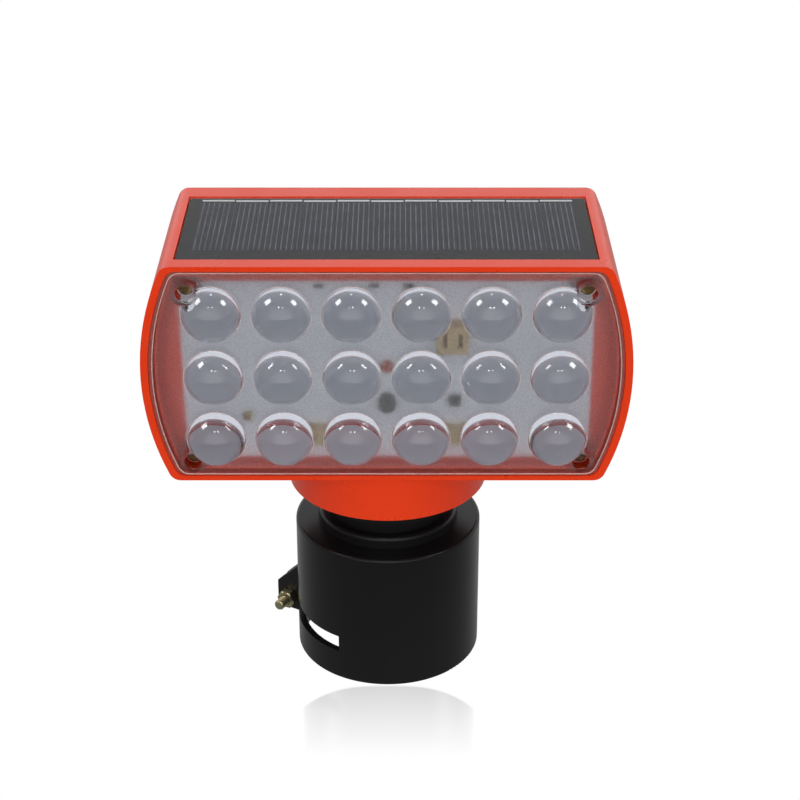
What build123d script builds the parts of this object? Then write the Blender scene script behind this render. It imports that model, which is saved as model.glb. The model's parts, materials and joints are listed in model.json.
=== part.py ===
from build123d import *
import os
from math import copysign, cos, radians, sin, sqrt

# Solar barricade warning light, in millimetres.
# Origin: centre of the open bottom rim of the post socket. +Z is up and the lens faces -Y.
# The head (everything orange and what it holds) turns about Z on the black socket's neck.

# ---- post socket ----
POST_R = 38.0
SOCKET_R = 41.0
SOCKET_TOP = 64.7
BORE_DEPTH = 61.0
BOSS_R = 31.0
BOSS_TOP = 70.0
NECK_R = 26.6
NECK_TOP = 105.2
NECK_CAVITY_R = 20.0
NECK_SCREW_R = 23.4
NECK_SCREW_LENGTH = 12.0
COUNTERSINK = 1.6
DECK_THICK = 6.0
RIM_ROUND = 0.6
SHOULDER_ROUND = 1.4
BOSS_ROUND = 2.0

# ---- clamp across the socket's split ----
EAR_AZIMUTH = 150.0
EAR_REACH = 56.7
EAR_BOTTOM = 0.8
EAR_OUTER_TOP = 14.0
EAR_ROOT_TOP = 29.7
EAR_FACE = 5.75
SPLIT_HALF = 2.0
SPLIT_TOP = 36.0
CLAMP_AXIS_R = 50.4
CLAMP_AXIS_Z = 6.9
CLAMP_BOLT_R = 2.45
CLAMP_BOLT_LENGTH = 22.0
CLAMP_NUT_AF = 8.0
CLAMP_NUT_THICK = 4.0
CLAMP_HEAD_THICK = 3.5
CLAMP_WASHER_R = 5.0
CLAMP_WASHER_THICK = 1.0
RELIEF_BOTTOM = 13.8
RELIEF_TOP = 21.6
RELIEF_NEAR = 12.0
RELIEF_FAR = 88.0

# ---- head shell: barrel outline, flat top and bottom, bowed sides ----
HEAD_BOTTOM = 106.0
HEAD_TOP = 203.0
HEAD_MID = (HEAD_BOTTOM + HEAD_TOP) / 2
HEAD_HALF = 100.15
HEAD_SHOULDER = 89.3
HEAD_FRONT = -43.5
HEAD_BACK = 46.3
HEAD_CORNER_R = 5.0
HEAD_BACK_R = 4.0
WALL = 3.0
BACK_INNER = HEAD_BACK - WALL
RIM_TOP = 2.1
RIM_SIDE = 3.1
RIM_CORNER_R = 5.0
LEDGE = 3.0
LEDGE_FRONT = -39.7
LEDGE_BACK = -37.2

LENS_POST_R = 4.0
LENS_SHOULDER_R = 6.2
BOARD_POST_R = 3.5
SHELF_THICK = 1.6
SHELF_UNDER_BOARD = 2.5

# ---- lens ----
LENS_FRONT = -43.2
LENS_BACK = -40.2
LENS_GAP = 0.15
LENS_BEVEL = 0.5
DOME_MID = 153.8
DOME_PITCH = 28.2
DOME_COLUMNS = 6
DOME_ROWS = 3
DOME_R = 12.0
DOME_HEIGHT = 10.25
LENS_SCREW_X = 80.6
LENS_SCREW_LOW = 114.7
LENS_SCREW_HIGH = 191.1
LENS_LAND_R = 5.2
LENS_TUBE_R = 6.3
LENS_HOLE_R = 3.7
LENS_SEAT = -36.6
LENS_TUBE_BACK = -32.6
GASKET_INSET = 0.5
GASKET_WIDTH = 1.4
SCREW_R = 1.5
SCREW_HEAD_R = 2.8
SCREW_HEAD_H = 2.0
LENS_SCREW_LENGTH = 14.0

# ---- lamp board ----
BOARD_HALF = 84.5
BOARD_BOTTOM = 111.3
BOARD_TOP = 192.6
BOARD_FRONT = -31.0
BOARD_BACK = -29.4
BOARD_SCREWS = [(-58.0, 131.0), (52.5, 150.0)]
CONNECTORS = {
    "battery_connector": (26.8, 169.0, 12.5, 12.0, 8.4),
    "solar_connector": (28.0, 123.5, 10.0, 7.5, 6.0),
    "switch_connector": (-28.0, 123.5, 10.0, 7.5, 6.0),
}

BOARD_SCREW_R = 1.2
BOARD_SCREW_HEAD_R = 2.2
BOARD_SCREW_HEAD_H = 1.5
BOARD_SCREW_LENGTH = 8.0
LED_SIZE = 3.5
LED_THICK = 1.6
LED_CUP_R = 1.35
CONNECTOR_SLOT = 1.8
CHIP_PLACE = (28.0, 138.0)
CHIP_WIDTH = 4.9
CHIP_HEIGHT = 3.9
CHIP_THICK = 1.4
CHIP_LIFT = 0.15
CHIP_LEGS = 4
CHIP_LEG_PITCH = 1.27
CHIP_LEG_WIDTH = 0.4
CHIP_LEG_REACH = 1.05
CAPACITOR_PLACE = (0.0, 138.0)
CAPACITOR_R = 3.5
CAPACITOR_HEIGHT = 6.0
SENSOR_PLACE = (0.0, 154.0)
SENSOR_R = 2.6
SENSOR_HEIGHT = 2.2
RESISTOR_WIDTH = 2.0
RESISTOR_HEIGHT = 1.25
RESISTOR_THICK = 0.55
RESISTOR_SIDE = 5.0
RESISTOR_DROP = 6.0
DIODES = [(-27.7, 190.3), (-5.1, 190.3), (8.6, 190.3)]
DIODE_WIDTH = 3.6
DIODE_HEIGHT = 1.8
DIODE_THICK = 1.1

# ---- solar panel in the top recess ----
PANEL_HALF = 84.5
PANEL_FRONT = -35.4
PANEL_BACK = 31.8
PANEL_GAP = 0.6
RECESS_FLOOR = 199.2
RECESS_WALL = 2.0
SEALANT_THICK = 0.7
SEALANT_WIDTH = 3.0
BACKBOARD_THICK = 1.6
COVER_DROP = 0.3
WIRE_HOLE = (60.0, 24.0)
WIRE_HOLE_R = 3.2
CELL_THICK = 0.3
RIBBON_BACK = 30.2
RIBBON_WIDTH = 1.4
RIBBON_STEP = 0.4
CELL_COUNT = 11
CELL_PITCH = 14.45
CELL_GAP = 0.35
CELL_FRONT = -24.0
CELL_BACK = 27.0

# ---- battery and switch on the back wall ----
CELL_R = 9.2
CELL_LENGTH = 65.0
CELL_Y = 31.0
CELL_Z = 165.0
CELL_SHIFT = 2.5
CELL_EDGE = 0.6
CELL_CAP_R = 3.0
CELL_CAP = 1.2
HOLDER_HALF = 40.5
HOLDER_WALL = 2.0
HOLDER_SIDE = 1.6
HOLDER_LIP = 1.2
HOLDER_BACK = 42.3
HOLDER_FRONT = 22.8
CONTACT_THICK = 0.5
SPRING_R = 3.2
SPRING_WIRE_R = 0.4
SPRING_TURNS = 4
SWITCH_X = 50.0
SWITCH_Z = 128.0
SWITCH_R = 5.8
SWITCH_FRONT = 32.8
SWITCH_FLOOR = 3.0
SWITCH_BACK = 48.7
SWITCH_FLANGE_R = 8.0
SWITCH_SEAL_THICK = 0.8
SWITCH_NUT_AF = 14.0
SWITCH_NUT_THICK = 2.5
TERMINAL_FRONT = 26.8
TAG_HALF = 0.4
TAG_HEIGHT = 3.0
BUTTON_R = 3.7
BUTTON_ROOM = 2.5
BUTTON_PROUD = 2.6

# ---- swivel stack on the Z axis ----
PIVOT_R = 3.95
PIVOT_HOLE_R = 4.3
PIVOT_LENGTH = 25.0
PIVOT_AF = 13.0
PIVOT_HEAD = 5.3
PIVOT_BOSS_R = 11.5
PIVOT_BOSS_TOP = 114.6
PIVOT_NUT = 8.0
O_RING_SECTION = 0.75
WASHER_R = 12.0
STEEL_WASHER_THICK = 1.6
WAVE_R = 10.0
WAVE_THICK = 0.6
WAVE_RISE = 1.2
FLOOR_TOP = HEAD_BOTTOM + WALL
FRICTION_THICK = 0.8
SKIRT_R = 43.25
SKIRT_BOTTOM = 86.2
SKIRT_WALL = 2.5
SKIRT_SCREW_R = 35.0
SKIRT_FLANGE = 2.8
SKIRT_FLANGE_HOLE = 29.0
SKIRT_BOSS_R = 3.5
SKIRT_BOSS_DEPTH = 13.0
SKIRT_SCREW_LENGTH = 12.0

# ---- leads ----
LEAD_R = 0.65
LEAD_BEND = 4.0
PIN_HALF = 1.3
BATTERY_POSITIVE_VIA = [(46.5, 31.0, 165.0), (46.5, -5.0, 165.0), (26.8, -16.0, 169.0)]
BATTERY_NEGATIVE_VIA = [(-46.5, 31.0, 165.0), (-46.5, 6.0, 173.0), (0.0, -9.0, 177.0), (26.8, -14.0, 169.0)]
SOLAR_VIA = [(60.0, 24.0, 187.0), (40.0, 8.0, 176.0), (28.0, -1.0, 145.0), (28.0, -12.0, 123.5)]
SWITCH_VIA = [(50.0, 13.0, 128.0), (20.0, 8.0, 134.0), (-16.0, -8.0, 129.5), (-28.0, -18.0, 123.5)]

# ---- small shared sizes ----
HOLE_GAP = 0.25
THREAD_GAP = 0.1
THREAD_CHAMFER = 0.5
NUT_CORNER = 1.12
DRIVE_DEPTH = 0.6
OVERCUT = 1.0


# ---------------------------------------------------------------- helpers
def rod(radius, start, end):
    """Solid cylinder between two points."""
    start = Vector(*start)
    along = Vector(*end) - start
    return Solid.make_cylinder(radius, along.length, Plane(start, z_dir=along))


def tube(outer, inner, start, end):
    """Hollow cylinder between two points."""
    return rod(outer, start, end) - rod(inner, start, end)


def post(radius, x, z, y_front, y_back):
    """Cylinder along Y."""
    return rod(radius, (x, y_front, z), (x, y_back, z))


def disc(outer, inner, z_low, z_high):
    """Washer on the Z axis."""
    return tube(outer, inner, (0, 0, z_low), (0, 0, z_high))


def block(x, y, z):
    """Box from three (low, high) pairs."""
    size = [high - low for low, high in (x, y, z)]
    return Pos(*((low + high) / 2 for low, high in (x, y, z))) * Box(*size)


def hexagon(across_flats, start, end):
    """Hexagonal prism between two points."""
    start = Vector(*start)
    along = Vector(*end) - start
    plane = Plane(start, z_dir=along)
    return extrude(plane * RegularPolygon(across_flats / 2, 6, major_radius=False), along.length)


def side_half(inset_side, z):
    """Half-width of the bowed side at a height, moved in by inset_side."""
    rise, bulge = HEAD_TOP - HEAD_MID, HEAD_HALF - HEAD_SHOULDER
    radius = (rise**2 + bulge**2) / (2 * bulge)
    return HEAD_HALF - radius + sqrt((radius - inset_side) ** 2 - (z - HEAD_MID) ** 2)


def barrel(inset_flat, inset_side, y_front, y_back, corner=0.0):
    """Prism of the head's barrel outline, moved in at the flats and at the bowed sides."""
    low, high = HEAD_BOTTOM + inset_flat, HEAD_TOP - inset_flat
    waist, shoulder = side_half(inset_side, HEAD_MID), side_half(inset_side, high)
    outline = ((-shoulder, low), (shoulder, low), (shoulder, high), (-shoulder, high))
    corners = [Vector(x, y_front, z) for x, z in outline]
    face = Face(Wire([
        Edge.make_line(corners[0], corners[1]),
        Edge.make_three_point_arc(corners[1], (waist, y_front, HEAD_MID), corners[2]),
        Edge.make_line(corners[2], corners[3]),
        Edge.make_three_point_arc(corners[3], (-waist, y_front, HEAD_MID), corners[0]),
    ]))
    if corner:
        face = face.fillet_2d(corner, face.vertices())
    return Solid.extrude(face, Vector(0, y_back - y_front, 0))


def dome_centres():
    """(x, z) of every dome, row by row."""
    return [
        ((column - (DOME_COLUMNS - 1) / 2) * DOME_PITCH, DOME_MID + (row - (DOME_ROWS - 1) / 2) * DOME_PITCH)
        for row in range(DOME_ROWS)
        for column in range(DOME_COLUMNS)
    ]


def lens_screw_places():
    """(x, z) of the four corner screws."""
    return [(x, z) for x in (-LENS_SCREW_X, LENS_SCREW_X) for z in (LENS_SCREW_LOW, LENS_SCREW_HIGH)]


def skirt_screw_places():
    """(x, y) of the four screws between the skirt and the shell."""
    reach = SKIRT_SCREW_R / sqrt(2)
    return [(x, y) for x in (-reach, reach) for y in (-reach, reach)]


def clamp_point(radial, along, z):
    """Point beside the socket, radial out from its axis and along the clamp bolt towards the nut."""
    turn = radians(EAR_AZIMUTH)
    return (radial * cos(turn) - along * sin(turn), radial * sin(turn) + along * cos(turn), z)


def clamp_points(*distances):
    """Points on the clamp bolt's axis, at distances from the split towards the nut."""
    return [clamp_point(CLAMP_AXIS_R, along, CLAMP_AXIS_Z) for along in distances]


def machine_screw(place, direction, head_r, head_h, shank_r, length):
    """Screw whose head's underside is at place, with a hexagonal drive recess in the head."""
    place, direction = Vector(*place), Vector(*direction)
    top = place - direction * head_h
    drive = hexagon(head_r, top, top + direction * head_h * DRIVE_DEPTH)
    return rod(head_r, top, place) + rod(shank_r, place, place + direction * length) - drive


def lead(start, via, connector_name, side):
    """Insulated wire through points shared by a pair, each beside its twin, ending at a connector's pin."""
    x, z = CONNECTORS[connector_name][:2]
    beside = [(px + side * PIN_HALF, py - side * PIN_HALF, pz) for px, py, pz in via]
    path = FilletPolyline(start, *beside, (x + side * PIN_HALF, BOARD_BACK, z), radius=LEAD_BEND)
    return sweep(Plane(path @ 0, z_dir=path % 0) * Circle(LEAD_R), path=path)


# ---------------------------------------------------------------- post socket and clamp
def turned(section, rounds=()):
    """Solid of revolution from (radius, height) corners, with some of them rounded."""
    corners = [Vector(r, 0, z) for r, z in section]
    face = Face(Wire([Edge.make_line(a, b) for a, b in zip(corners, corners[1:] + corners[:1])]))
    for r, z, radius in rounds:
        face = face.fillet_2d(radius, [face.vertices().sort_by_distance((r, 0, z))[0]])
    return revolve(face, Axis.Z)


def neck_screw_places():
    """(x, y) of the four screws that hold the neck on the socket's roof."""
    return [(NECK_SCREW_R, 0), (0, NECK_SCREW_R), (-NECK_SCREW_R, 0), (0, -NECK_SCREW_R)]


def neck():
    """Black flanged tube that carries the head, closed above by the deck that the head turns on."""
    deck = NECK_TOP - DECK_THICK
    section = [
        (NECK_CAVITY_R, SOCKET_TOP), (BOSS_R, SOCKET_TOP), (BOSS_R, BOSS_TOP), (NECK_R, BOSS_TOP),
        (NECK_R, NECK_TOP), (PIVOT_HOLE_R, NECK_TOP), (PIVOT_HOLE_R, deck), (NECK_CAVITY_R, deck),
    ]
    body = turned(section, [(BOSS_R, BOSS_TOP, BOSS_ROUND)])
    for x, y in neck_screw_places():
        tip = (x, y, BORE_DEPTH + NECK_SCREW_LENGTH + OVERCUT)
        body -= rod(SCREW_R + THREAD_GAP, (x, y, SOCKET_TOP), tip)
    return body


def neck_screws():
    """Four countersunk screws, flush in the roof of the bore."""
    screws = []
    for x, y in neck_screw_places():
        head = Solid.make_cone(SCREW_HEAD_R, SCREW_R, COUNTERSINK, Plane((x, y, BORE_DEPTH)))
        shank = rod(SCREW_R, (x, y, BORE_DEPTH), (x, y, BORE_DEPTH + NECK_SCREW_LENGTH))
        drive = hexagon(SCREW_R, (x, y, BORE_DEPTH), (x, y, BORE_DEPTH + COUNTERSINK * DRIVE_DEPTH))
        screws.append(head + shank - drive)
    return Compound(screws)


def clamp_ear(low, high):
    """Ear between two distances from the split, sloped at 45 degrees up to the wall."""
    root = (POST_R + SOCKET_R) / 2
    side = [(root, EAR_BOTTOM), (EAR_REACH, EAR_BOTTOM), (EAR_REACH, EAR_OUTER_TOP), (SOCKET_R, EAR_ROOT_TOP),
            (root, EAR_ROOT_TOP)]
    corners = [Vector(*clamp_point(r, low, z)) for r, z in side]
    face = Face(Wire([Edge.make_line(a, b) for a, b in zip(corners, corners[1:] + corners[:1])]))
    along = Vector(*clamp_point(0, high - low, 0))
    return Solid.extrude(face, along)


def relief_slot(start):
    """Long window in the socket wall that lets the lower band flex."""
    width, height = SOCKET_R - POST_R + 2 * OVERCUT, RELIEF_TOP - RELIEF_BOTTOM
    middle = ((POST_R + SOCKET_R) / 2, 0, (RELIEF_BOTTOM + RELIEF_TOP) / 2)
    section = Plane(middle, x_dir=(1, 0, 0), z_dir=(0, -1, 0)) * Rectangle(width, height)
    return Rot(0, 0, start) * revolve(section, Axis.Z, RELIEF_FAR - RELIEF_NEAR)


def post_socket():
    """Black moulded socket with its clamp ears, split and relief slots."""
    section = [
        (POST_R, 0), (SOCKET_R, 0), (SOCKET_R, SOCKET_TOP), (NECK_CAVITY_R, SOCKET_TOP),
        (NECK_CAVITY_R, BORE_DEPTH), (POST_R, BORE_DEPTH),
    ]
    body = turned(section, [(SOCKET_R, 0, RIM_ROUND), (SOCKET_R, SOCKET_TOP, SHOULDER_ROUND)])
    for low, high in ((-EAR_FACE, -SPLIT_HALF), (SPLIT_HALF, EAR_FACE)):
        body += clamp_ear(low, high)
    body -= rod(POST_R, (0, 0, -OVERCUT), (0, 0, SPLIT_TOP))
    body -= Rot(0, 0, EAR_AZIMUTH) * block(
        (POST_R - OVERCUT, SOCKET_R + OVERCUT), (-SPLIT_HALF, SPLIT_HALF), (-OVERCUT, SPLIT_TOP)
    )
    body -= relief_slot(EAR_AZIMUTH + RELIEF_NEAR)
    body -= relief_slot(EAR_AZIMUTH - RELIEF_FAR)
    for x, y in neck_screw_places():
        body -= rod(SCREW_R + THREAD_GAP, (x, y, BORE_DEPTH), (x, y, SOCKET_TOP))
        body -= Solid.make_cone(SCREW_HEAD_R, SCREW_R, COUNTERSINK, Plane((x, y, BORE_DEPTH)))
    reach = EAR_FACE + OVERCUT
    return body - rod(CLAMP_BOLT_R + HOLE_GAP, *clamp_points(-reach, reach))


def clamp_bolt():
    """Hexagon bolt through both ears, head behind the rear ear."""
    seat = -EAR_FACE - CLAMP_WASHER_THICK
    points = clamp_points(seat - CLAMP_HEAD_THICK, seat, seat + CLAMP_BOLT_LENGTH)
    shank = rod(CLAMP_BOLT_R, points[1], points[2])
    shank = chamfer(shank.edges().sort_by_distance(points[2])[0], THREAD_CHAMFER)
    return hexagon(CLAMP_NUT_AF, points[0], points[1]) + shank


def clamp_washer():
    """Flat washer under the clamp bolt's head."""
    ends = clamp_points(-EAR_FACE - CLAMP_WASHER_THICK, -EAR_FACE)
    return tube(CLAMP_WASHER_R, CLAMP_BOLT_R + HOLE_GAP, *ends)


def clamp_nut():
    """Hexagon nut on the front ear."""
    ends = clamp_points(EAR_FACE, EAR_FACE + CLAMP_NUT_THICK)
    nut = hexagon(CLAMP_NUT_AF, *ends) & rod(CLAMP_NUT_AF / 2 * NUT_CORNER, *ends)
    return nut - rod(CLAMP_BOLT_R + THREAD_GAP, *ends)


# ---------------------------------------------------------------- head shell
def board_shelf():
    """Frame just behind the board, from under its edges out to the walls."""
    back = BOARD_BACK + SHELF_THICK
    half = BOARD_HALF - SHELF_UNDER_BOARD
    window = block(
        (-half, half), (BOARD_BACK, back), (BOARD_BOTTOM + SHELF_UNDER_BOARD, BOARD_TOP - SHELF_UNDER_BOARD)
    )
    return barrel(WALL, WALL, BOARD_BACK, back) - window


def head_cavity():
    """Room inside the shell behind the lens ledge, less everything moulded into it."""
    cavity = barrel(WALL, WALL, LEDGE_BACK, BACK_INNER) - board_shelf()
    border = PANEL_GAP + RECESS_WALL
    cavity -= block(
        (-PANEL_HALF - border, PANEL_HALF + border),
        (PANEL_FRONT - border, PANEL_BACK + border),
        (RECESS_FLOOR - RECESS_WALL, HEAD_TOP),
    )
    for x, z in lens_screw_places():
        cavity -= post(LENS_SHOULDER_R, x, z, BOARD_BACK, BACK_INNER)
        cavity -= post(LENS_POST_R, x, z, LENS_TUBE_BACK, BOARD_BACK)
    for x, z in BOARD_SCREWS:
        cavity -= post(BOARD_POST_R, x, z, BOARD_BACK, BACK_INNER)
    return cavity - rod(PIVOT_BOSS_R, (0, 0, FLOOR_TOP), (0, 0, PIVOT_BOSS_TOP))


def housing():
    """Orange bucket: rim, lens ledge, closed back, top recess, screw posts and pivot boss."""
    body = barrel(0, 0, HEAD_FRONT, HEAD_BACK, HEAD_CORNER_R)
    body = fillet(body.edges().filter_by(lambda edge: edge.center().Y > HEAD_BACK - THREAD_GAP), HEAD_BACK_R)
    body -= barrel(RIM_TOP, RIM_SIDE, HEAD_FRONT, LEDGE_FRONT, RIM_CORNER_R)
    body -= barrel(RIM_TOP + LEDGE, RIM_SIDE + LEDGE, LEDGE_FRONT, LEDGE_BACK)
    body -= head_cavity()
    body -= block(
        (-PANEL_HALF - PANEL_GAP, PANEL_HALF + PANEL_GAP),
        (PANEL_FRONT - PANEL_GAP, PANEL_BACK + PANEL_GAP),
        (RECESS_FLOOR, HEAD_TOP + OVERCUT),
    )
    for x, z in lens_screw_places():
        body -= post(LENS_TUBE_R + HOLE_GAP, x, z, LEDGE_FRONT, LENS_TUBE_BACK)
        body -= post(SCREW_R + THREAD_GAP, x, z, LENS_TUBE_BACK, LENS_SEAT + LENS_SCREW_LENGTH + OVERCUT)
    for x, z in BOARD_SCREWS:
        body -= post(BOARD_SCREW_R + THREAD_GAP, x, z, BOARD_BACK, BOARD_BACK + BOARD_SCREW_LENGTH)
    for x, y in skirt_screw_places():
        body -= rod(SCREW_R + HOLE_GAP, (x, y, HEAD_BOTTOM), (x, y, FLOOR_TOP))
    body -= rod(PIVOT_R + HOLE_GAP, (0, 0, HEAD_BOTTOM), (0, 0, FLOOR_TOP))
    body -= hexagon(PIVOT_AF + HOLE_GAP, (0, 0, FLOOR_TOP), (0, 0, PIVOT_BOSS_TOP))
    body -= disc(PIVOT_R + 3 * O_RING_SECTION, PIVOT_R, HEAD_BOTTOM, HEAD_BOTTOM + 2 * O_RING_SECTION)
    body -= post(SWITCH_R + HOLE_GAP, SWITCH_X, SWITCH_Z, BACK_INNER, HEAD_BACK)
    return body - rod(WIRE_HOLE_R, (*WIRE_HOLE, RECESS_FLOOR - RECESS_WALL), (*WIRE_HOLE, RECESS_FLOOR))


def swivel_skirt():
    """Orange collar under the shell that hides the joint, with four screw bosses."""
    body = disc(SKIRT_R, SKIRT_R - SKIRT_WALL, SKIRT_BOTTOM, HEAD_BOTTOM)
    body += disc(SKIRT_R, SKIRT_FLANGE_HOLE, HEAD_BOTTOM - SKIRT_FLANGE, HEAD_BOTTOM)
    for x, y in skirt_screw_places():
        body += rod(SKIRT_BOSS_R, (x, y, HEAD_BOTTOM - SKIRT_BOSS_DEPTH), (x, y, HEAD_BOTTOM))
    for x, y in skirt_screw_places():
        tip = (x, y, HEAD_BOTTOM - SKIRT_BOSS_DEPTH + OVERCUT)
        body -= rod(SCREW_R + THREAD_GAP, tip, (x, y, HEAD_BOTTOM))
    return body


# ---------------------------------------------------------------- lens
def lens_dome(x, z):
    """Plano-convex cap standing in front of the plate."""
    radius = (DOME_R**2 + DOME_HEIGHT**2) / (2 * DOME_HEIGHT)
    ball = Pos(x, LENS_FRONT - DOME_HEIGHT + radius, z) * Sphere(radius)
    return ball & post(radius, x, z, LENS_FRONT - 2 * radius, LENS_FRONT + OVERCUT)


def lens():
    """Clear moulding: bevelled plate, eighteen domes and four screw tubes."""
    body = barrel(RIM_TOP + LENS_GAP, RIM_SIDE + LENS_GAP, LENS_FRONT, LENS_BACK, RIM_CORNER_R)
    body = chamfer(body.edges().filter_by(lambda edge: edge.center().Y < LENS_FRONT + THREAD_GAP), LENS_BEVEL)
    for x, z in dome_centres():
        body += lens_dome(x, z)
    for x, z in lens_screw_places():
        body -= post(LENS_LAND_R, x, z, LENS_FRONT - DOME_HEIGHT, LENS_FRONT)
        body += post(LENS_TUBE_R, x, z, LENS_BACK, LENS_TUBE_BACK)
        body -= post(LENS_HOLE_R, x, z, LENS_FRONT, LENS_SEAT)
        body -= post(SCREW_R + HOLE_GAP, x, z, LENS_SEAT, LENS_TUBE_BACK)
    return body


def lens_gasket():
    """Thin silicone frame between the lens and its ledge."""
    outer, inner = GASKET_INSET, GASKET_INSET + GASKET_WIDTH
    body = barrel(RIM_TOP + outer, RIM_SIDE + outer, LENS_BACK, LEDGE_FRONT, RIM_CORNER_R)
    body -= barrel(RIM_TOP + inner, RIM_SIDE + inner, LENS_BACK, LEDGE_FRONT, RIM_CORNER_R)
    for x, z in lens_screw_places():
        body -= post(LENS_TUBE_R, x, z, LENS_BACK, LEDGE_FRONT)
    return body


def lens_screws():
    """Four pan-head screws at the bottoms of the lens tubes."""
    return Compound([
        machine_screw((x, LENS_SEAT, z), (0, 1, 0), SCREW_HEAD_R, SCREW_HEAD_H, SCREW_R, LENS_SCREW_LENGTH)
        for x, z in lens_screw_places()
    ])


# ---------------------------------------------------------------- lamp board
def led_board():
    """White circuit board, its corners cut away round the four lens posts."""
    body = block((-BOARD_HALF, BOARD_HALF), (BOARD_FRONT, BOARD_BACK), (BOARD_BOTTOM, BOARD_TOP))
    for x, z in lens_screw_places():
        corner_x = sorted((x, copysign(HEAD_HALF, x)))
        corner_z = sorted((z, HEAD_TOP if z > HEAD_MID else HEAD_BOTTOM))
        body -= post(LENS_POST_R + 2 * HOLE_GAP, x, z, BOARD_FRONT, BOARD_BACK)
        body -= block(corner_x, (BOARD_FRONT, BOARD_BACK), corner_z)
    for x, z in BOARD_SCREWS:
        body -= post(BOARD_SCREW_R + HOLE_GAP, x, z, BOARD_FRONT, BOARD_BACK)
    return body


def board_screws():
    """Small screws through the board into its two middle posts."""
    return Compound([
        machine_screw((x, BOARD_FRONT, z), (0, 1, 0), BOARD_SCREW_HEAD_R, BOARD_SCREW_HEAD_H, BOARD_SCREW_R,
                      BOARD_SCREW_LENGTH)
        for x, z in BOARD_SCREWS
    ])


def on_board(x, z, width, height, thick, lift=0.0):
    """Rectangular component standing on the board's front."""
    back = BOARD_FRONT - lift
    return block((x - width / 2, x + width / 2), (back - thick, back), (z - height / 2, z + height / 2))


def led_packages():
    """Eighteen surface-mount lamp bodies, each with a round cup, one behind every dome."""
    return Compound([
        on_board(x, z, LED_SIZE, LED_SIZE, LED_THICK) - post(LED_CUP_R, x, z, BOARD_FRONT - LED_THICK,
                                                             BOARD_FRONT - LED_THICK / 2)
        for x, z in dome_centres()
    ])


def led_emitters():
    """Resin fillings of the lamp cups."""
    return Compound([
        post(LED_CUP_R, x, z, BOARD_FRONT - LED_THICK, BOARD_FRONT - LED_THICK / 2) for x, z in dome_centres()
    ])


def connector(x, z, width, height, thick):
    """Shrouded two-pin header with its plug pushed in: two deep slots in the front."""
    body = on_board(x, z, width, height, thick)
    for side in (-1, 1):
        body -= on_board(x + side * width / 4, z, CONNECTOR_SLOT, height / 2, thick / 2, thick / 2)
    return body


def driver_chip():
    """Eight-leg flasher and charge controller."""
    x, z = CHIP_PLACE
    body = on_board(x, z, CHIP_WIDTH, CHIP_HEIGHT, CHIP_THICK, CHIP_LIFT)
    for side in (-1, 1):
        leg_z = z + side * (CHIP_HEIGHT + CHIP_LEG_REACH) / 2
        for leg in range(CHIP_LEGS):
            leg_x = x + (leg - (CHIP_LEGS - 1) / 2) * CHIP_LEG_PITCH
            body += on_board(leg_x, leg_z, CHIP_LEG_WIDTH, CHIP_LEG_REACH, CHIP_LIFT + CHIP_THICK / 2)
    return body


def capacitor():
    """Upright electrolytic can."""
    x, z = CAPACITOR_PLACE
    can = post(CAPACITOR_R, x, z, BOARD_FRONT - CAPACITOR_HEIGHT, BOARD_FRONT)
    return fillet(can.edges().sort_by(Axis.Y)[0], THREAD_CHAMFER)


def light_sensor():
    """Small photocell that starts the flashing at dusk."""
    x, z = SENSOR_PLACE
    return post(SENSOR_R, x, z, BOARD_FRONT - SENSOR_HEIGHT, BOARD_FRONT)


def resistors():
    """Chip resistor below each lamp, to its right."""
    return Compound([
        on_board(x + RESISTOR_SIDE, z - RESISTOR_DROP, RESISTOR_WIDTH, RESISTOR_HEIGHT, RESISTOR_THICK)
        for x, z in dome_centres()
    ])


def diodes():
    """Three surface-mount diodes along the board's top edge."""
    return Compound([on_board(x, z, DIODE_WIDTH, DIODE_HEIGHT, DIODE_THICK) for x, z in DIODES])


# ---------------------------------------------------------------- solar panel
def panel_layer(inset, z_low, z_high):
    """Flat rectangle of the panel's outline, moved in by inset."""
    return block(
        (-PANEL_HALF + inset, PANEL_HALF - inset), (PANEL_FRONT + inset, PANEL_BACK - inset), (z_low, z_high)
    )


def panel_sealant():
    """Bead of sealant under the panel's edge."""
    top = RECESS_FLOOR + SEALANT_THICK
    return panel_layer(0, RECESS_FLOOR, top) - panel_layer(SEALANT_WIDTH, RECESS_FLOOR, top)


def solar_backboard():
    """Circuit board that carries the cells."""
    low = RECESS_FLOOR + SEALANT_THICK
    return panel_layer(0, low, low + BACKBOARD_THICK)


def solar_cells():
    """Row of cell strips with narrow gaps."""
    low = RECESS_FLOOR + SEALANT_THICK + BACKBOARD_THICK
    cells = []
    for index in range(CELL_COUNT):
        centre = (index - (CELL_COUNT - 1) / 2) * CELL_PITCH
        half = (CELL_PITCH - CELL_GAP) / 2
        cells.append(block((centre - half, centre + half), (CELL_FRONT, CELL_BACK), (low, low + CELL_THICK)))
    return Compound(cells)


def solar_ribbons():
    """Tinned ribbons that link the cells along their back edge, every other one stepped."""
    low = RECESS_FLOOR + SEALANT_THICK + BACKBOARD_THICK
    ribbons = []
    for index in range(CELL_COUNT):
        centre = (index - (CELL_COUNT - 1) / 2) * CELL_PITCH
        half = (CELL_PITCH - 2 * CELL_GAP) / 2
        back = RIBBON_BACK - RIBBON_STEP * (index % 2)
        size_x, size_y = (centre - half, centre + half), (back - RIBBON_WIDTH, back)
        ribbons.append(block(size_x, size_y, (low, low + CELL_THICK)))
    return Compound(ribbons)


def solar_cover():
    """Clear resin sheet over the cells, hollowed for them."""
    low = RECESS_FLOOR + SEALANT_THICK + BACKBOARD_THICK
    body = panel_layer(0, low, HEAD_TOP - COVER_DROP)
    for solid in (*solar_cells().solids(), *solar_ribbons().solids()):
        body -= solid
    return body


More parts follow.
